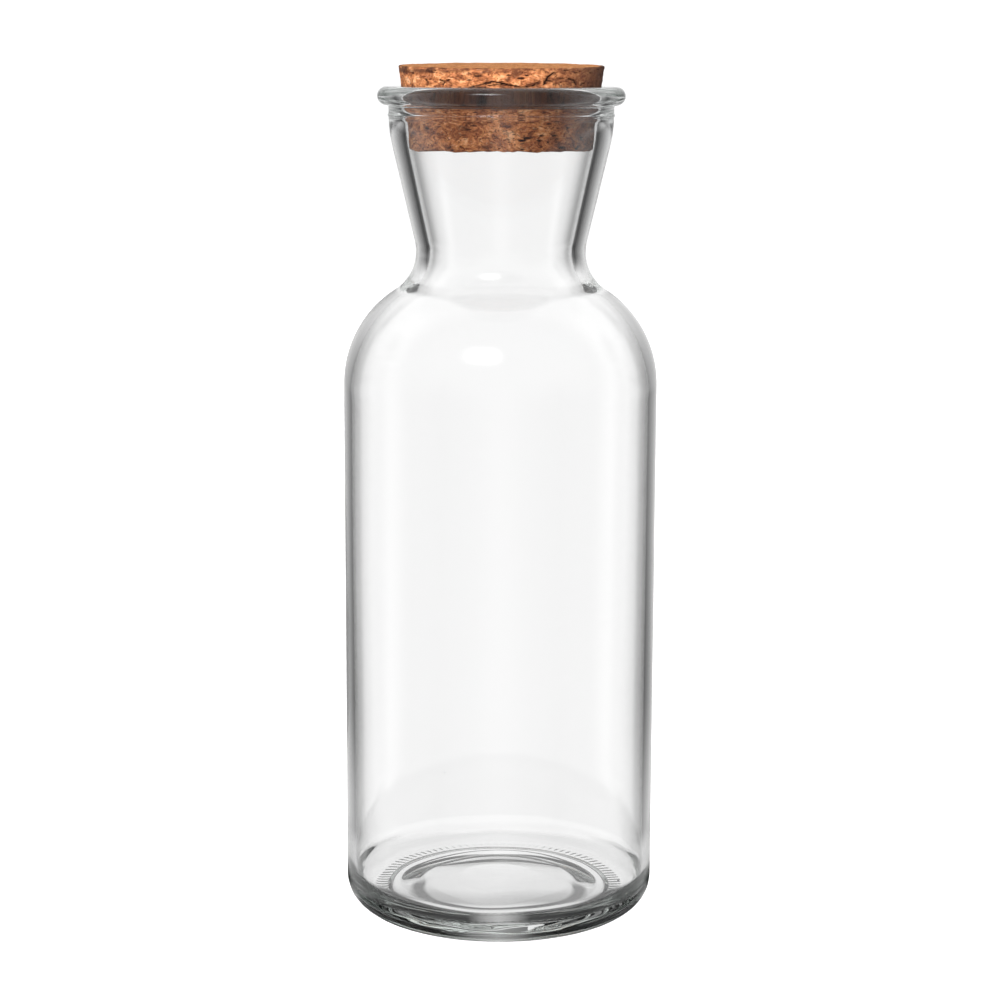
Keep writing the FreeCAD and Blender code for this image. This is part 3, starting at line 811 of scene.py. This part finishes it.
def sweep_material():
    """White matt paper over a light table.

    The eye sees plain white paper; through the glass it sees the table with painted light and shade,
    out to the edge of the lit part, and beyond it the wall.
    """
    material = bpy.data.materials.new("white_sweep")
    tree = bare_tree(material)
    metres = add_node(tree, "TexCoord").outputs["Object"]
    place = add_node(tree, "VectorMath", {"Vector": metres, "Scale": 1 / MM}, operation="SCALE")
    axes = add_node(tree, "SeparateXYZ", (place,)).outputs
    away = add_node(tree, "VectorMath", (place,), operation="LENGTH")
    rays = add_node(tree, "LightPath").outputs
    deep = add_node(tree, "Math", (rays["Transmission Depth"], 3.5), operation="GREATER_THAN")
    rightward = add_node(tree, "MapRange", (axes["X"], -150.0, 100.0), **SMOOTH)
    shade = add_node(tree, "Mix", (rightward, 0.45, 0.12))
    glow = add_node(tree, "Mix", (rays["Is Diffuse Ray"], 0.95, shade))
    paper = add_node(tree, "BsdfPrincipled", {
        "Base Color": to_linear("#f3f3f3"),
        "Roughness": 0.9,
        "Emission Color": glow,
        "Emission Strength": 1.0,
    })
    tone = table_tone(tree, place, axes, away, deep)
    table = add_node(tree, "Emission", (spent(tree, rays, tone, 4.5),))
    bent = add_node(tree, "Math", (rays["Is Glossy Ray"], rays["Is Transmission Ray"]),
                    operation="MAXIMUM")
    few_end = add_node(tree, "MapRange", (away, 85.0, 105.0), **SMOOTH)
    deep_end = add_node(tree, "MapRange", (away, 50.0, 55.0), **SMOOTH)
    far = add_node(tree, "Mix", (deep, few_end, deep_end))
    gone = add_node(tree, "Math", (bent, far), operation="MULTIPLY")
    near = add_node(tree, "MixShader", (bent, paper, table))
    surface = add_node(tree, "MixShader", (gone, near, add_node(tree, "BsdfTransparent")))
    add_node(tree, "OutputMaterial", (surface,))
    return material


def film_material():
    """A sheet of painted shade round the heel: black, with grey strips of painted light, which only
    light rising out of the bottle's base meets.
    """
    material = bpy.data.materials.new("heel_shade_film")
    tree = bare_tree(material)
    turn = bearing(tree, add_node(tree, "TexCoord").outputs["Object"])
    strips = add_node(tree, "ValToRGB", (off_spoke(tree, turn, 45.0),), greys(
        0, 45, (0, 0.32), (4, 0.2), (8, 0.04), (12, 0.0), (45, 0.0)))
    film = add_node(tree, "Emission", (strips,))
    rays = add_node(tree, "LightPath").outputs
    few = between(tree, rays["Transmission Depth"], 0.5, 3.5)
    from_below = add_node(tree, "NewGeometry").outputs["Backfacing"]
    met = add_node(tree, "Math", (few, from_below), operation="MULTIPLY")
    surface = add_node(tree, "MixShader", (met, add_node(tree, "BsdfTransparent"), film))
    add_node(tree, "OutputMaterial", (surface,))
    return material


def stage_piece(name, vertices, faces, material):
    """Make a mesh of the stage, which is no part of the bottle."""
    mesh = bpy.data.meshes.new(name)
    mesh.from_pydata(vertices, [], faces)
    mesh.materials.append(material)
    piece = bpy.data.objects.new(name, mesh)
    bpy.context.scene.collection.objects.link(piece)


def lay_floor(half=2.0, drop=0.3 * MM):
    """The paper floor, a hair under the standing ring."""
    corners = [(x, y, -drop) for x, y in ((-half, -half), (half, -half), (half, half), (-half, half))]
    stage_piece("floor", corners, [(0, 1, 2, 3)], sweep_material())


def hang_film(around=72, play=2.0, reach=1500.0, height=50.0):
    """The film of painted shade round the bottle, a flat ring just clear of the wall."""
    corners = []
    for radius in (WALL_RADIUS + play, reach):
        corners += [spot_at(2 * math.pi * k / around, radius, height) for k in range(around)]
    faces = [(k, k + around, (k + 1) % around + around, (k + 1) % around) for k in range(around)]
    stage_piece("heel_shade_film", corners, faces, film_material())


def hang_softbox(scene):
    """The softbox over the bottle, which lights the cork and isn't mirrored in the glass."""
    lamp = bpy.data.lights.new("top_softbox", "AREA")
    lamp.shape = "RECTANGLE"
    lamp.size = 0.9
    lamp.size_y = 0.9
    lamp.energy = 3.0
    light = bpy.data.objects.new("top_softbox", lamp)
    light.location = (0.0, -0.1, 1.2)
    light.visible_glossy = False
    light.visible_transmission = False
    scene.collection.objects.link(light)


def set_camera(scene, settings):
    """The camera, in front and a little above the stopper."""
    data = bpy.data.cameras.new("camera")
    data.lens = settings.lens
    data.sensor_width = 36.0
    data.clip_start = 0.01
    camera = bpy.data.objects.new("camera", data)
    look = Matrix.Rotation(math.radians(90) - settings.pitch, 4, "X")
    lean = Matrix.Rotation(settings.roll, 4, "Z")
    camera.matrix_world = Matrix.Translation(settings.eye) @ look @ lean
    scene.collection.objects.link(camera)
    scene.camera = camera


class BOTTLE_OT_stage(bpy.types.Operator):
    """Set the floor, the light and the camera"""

    bl_idname = "bottle.stage"
    bl_label = "Stage"

    def execute(self, context):
        scene = context.scene
        settings = scene.bottle_stage
        scene.world = studio_world(settings.glow)
        scene.view_settings.view_transform = "Standard"
        scene.view_settings.look = "None"
        # Light crosses many faces of glass before it leaves the base and the shoulder
        scene.cycles.max_bounces = 90
        scene.cycles.transmission_bounces = 90
        scene.cycles.glossy_bounces = 90
        scene.cycles.diffuse_bounces = 3
        scene.cycles.blur_glossy = 0.0
        lay_floor()
        hang_film()
        hang_softbox(scene)
        set_camera(scene, settings)
        return {"FINISHED"}


class BOTTLE_PT_panel(bpy.types.Panel):
    """The pieces of the bottle"""

    bl_label = "Bottle"
    bl_idname = "BOTTLE_PT_panel"
    bl_space_type = "VIEW_3D"
    bl_region_type = "UI"
    bl_category = "Bottle"

    def draw(self, context):
        for operator in (BOTTLE_OT_glass, BOTTLE_OT_cork, BOTTLE_OT_stage):
            self.layout.operator(operator.bl_idname)


CLASSES = (BottleSettings, CorkSettings, StageSettings,
           BOTTLE_OT_glass, BOTTLE_OT_cork, BOTTLE_OT_stage, BOTTLE_PT_panel)


def register():
    for each in CLASSES:
        bpy.utils.register_class(each)
    bpy.types.Scene.bottle_glass = PointerProperty(type=BottleSettings)
    bpy.types.Scene.bottle_cork = PointerProperty(type=CorkSettings)
    bpy.types.Scene.bottle_stage = PointerProperty(type=StageSettings)


def unregister():
    del bpy.types.Scene.bottle_stage
    del bpy.types.Scene.bottle_cork
    del bpy.types.Scene.bottle_glass
    for each in reversed(CLASSES):
        bpy.utils.unregister_class(each)


def main():
    """Build every piece."""
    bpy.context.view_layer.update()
    register()
    bpy.ops.bottle.glass()
    bpy.ops.bottle.cork()
    bpy.ops.bottle.stage()
    bpy.context.view_layer.update()


if __name__ == "__main__":
    main()
